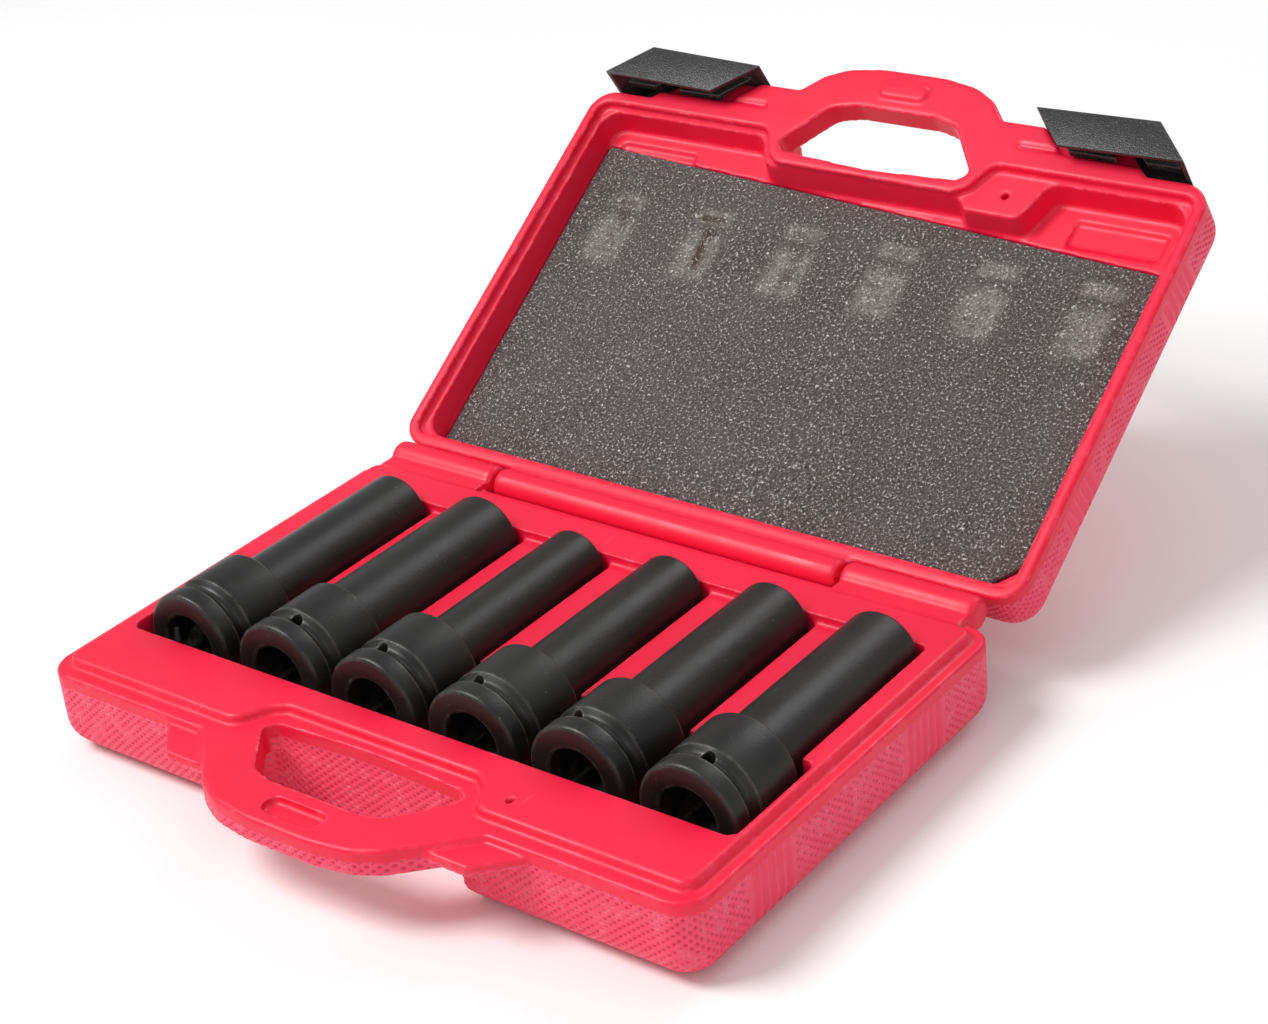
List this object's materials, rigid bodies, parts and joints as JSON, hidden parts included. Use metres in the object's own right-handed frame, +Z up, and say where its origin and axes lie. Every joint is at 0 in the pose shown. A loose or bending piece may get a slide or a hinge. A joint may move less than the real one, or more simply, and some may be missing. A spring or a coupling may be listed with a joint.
{
  "type": "socket wrench set in case",
  "caption": "Hinged carrying case with a handle, holding long impact sockets in moulded slots under a foam-lined lid, shut by sliding latches.",
  "frame": {"origin": "centre of the flat underside of the case's base", "axes": "+X to the right seen from the handle side, +Y from the handle to the hinge, +Z up out of the base"},
  "size_m": [0.326, 0.4636, 0.1766],
  "materials": {
    "base_shell": "blow-moulded red plastic, satin, dimpled on the outer walls",
    "lid_shell": "blow-moulded red plastic, satin, dimpled on the outer walls",
    "hinge_pin_left": "bright drawn steel",
    "hinge_pin_right": "bright drawn steel",
    "foam_pad": "charcoal foam sheet with pale specks",
    "latch_left": "black moulded plastic, fine grain",
    "latch_right": "black moulded plastic, fine grain",
    "socket_1": "black oxide steel, satin",
    "socket_2": "black oxide steel, satin",
    "socket_3": "black oxide steel, satin",
    "socket_4": "black oxide steel, satin",
    "socket_5": "black oxide steel, satin",
    "socket_6": "black oxide steel, satin"
  },
  "bodies": {
    "base": {"base_shell": "base_shell", "hinge_pin_left": "hinge_pin_left", "hinge_pin_right": "hinge_pin_right"},
    "lid": {"lid_shell": "lid_shell", "foam_pad": "foam_pad"},
    "latch_left": {"latch_left": "latch_left"},
    "latch_right": {"latch_right": "latch_right"},
    "socket_1": {"socket_1": "socket_1"},
    "socket_2": {"socket_2": "socket_2"},
    "socket_3": {"socket_3": "socket_3"},
    "socket_4": {"socket_4": "socket_4"},
    "socket_5": {"socket_5": "socket_5"},
    "socket_6": {"socket_6": "socket_6"}
  },
  "joints": [
    {"name": "lid_hinge", "type": "hinge", "parent": "base", "child": "lid", "pos_m": [0, 0.111, 0.0372], "axis": [-1, 0, 0], "range_deg": [-146.6, 0]},
    {"name": "latch_left_slide", "type": "slide", "parent": "lid", "child": "latch_left", "axis": [1, 0, 0], "range_m": [0, 0.019]},
    {"name": "latch_right_slide", "type": "slide", "parent": "lid", "child": "latch_right", "axis": [-1, 0, 0], "range_m": [0, 0.019]},
    {"name": "socket_1_lift", "type": "slide", "parent": "base", "child": "socket_1", "axis": [0, 0, 1], "range_m": [0, 0.08]},
    {"name": "socket_2_lift", "type": "slide", "parent": "base", "child": "socket_2", "axis": [0, 0, 1], "range_m": [0, 0.08]},
    {"name": "socket_3_lift", "type": "slide", "parent": "base", "child": "socket_3", "axis": [0, 0, 1], "range_m": [0, 0.08]},
    {"name": "socket_4_lift", "type": "slide", "parent": "base", "child": "socket_4", "axis": [0, 0, 1], "range_m": [0, 0.08]},
    {"name": "socket_5_lift", "type": "slide", "parent": "base", "child": "socket_5", "axis": [0, 0, 1], "range_m": [0, 0.08]},
    {"name": "socket_6_lift", "type": "slide", "parent": "base", "child": "socket_6", "axis": [0, 0, 1], "range_m": [0, 0.08]}
  ]
}
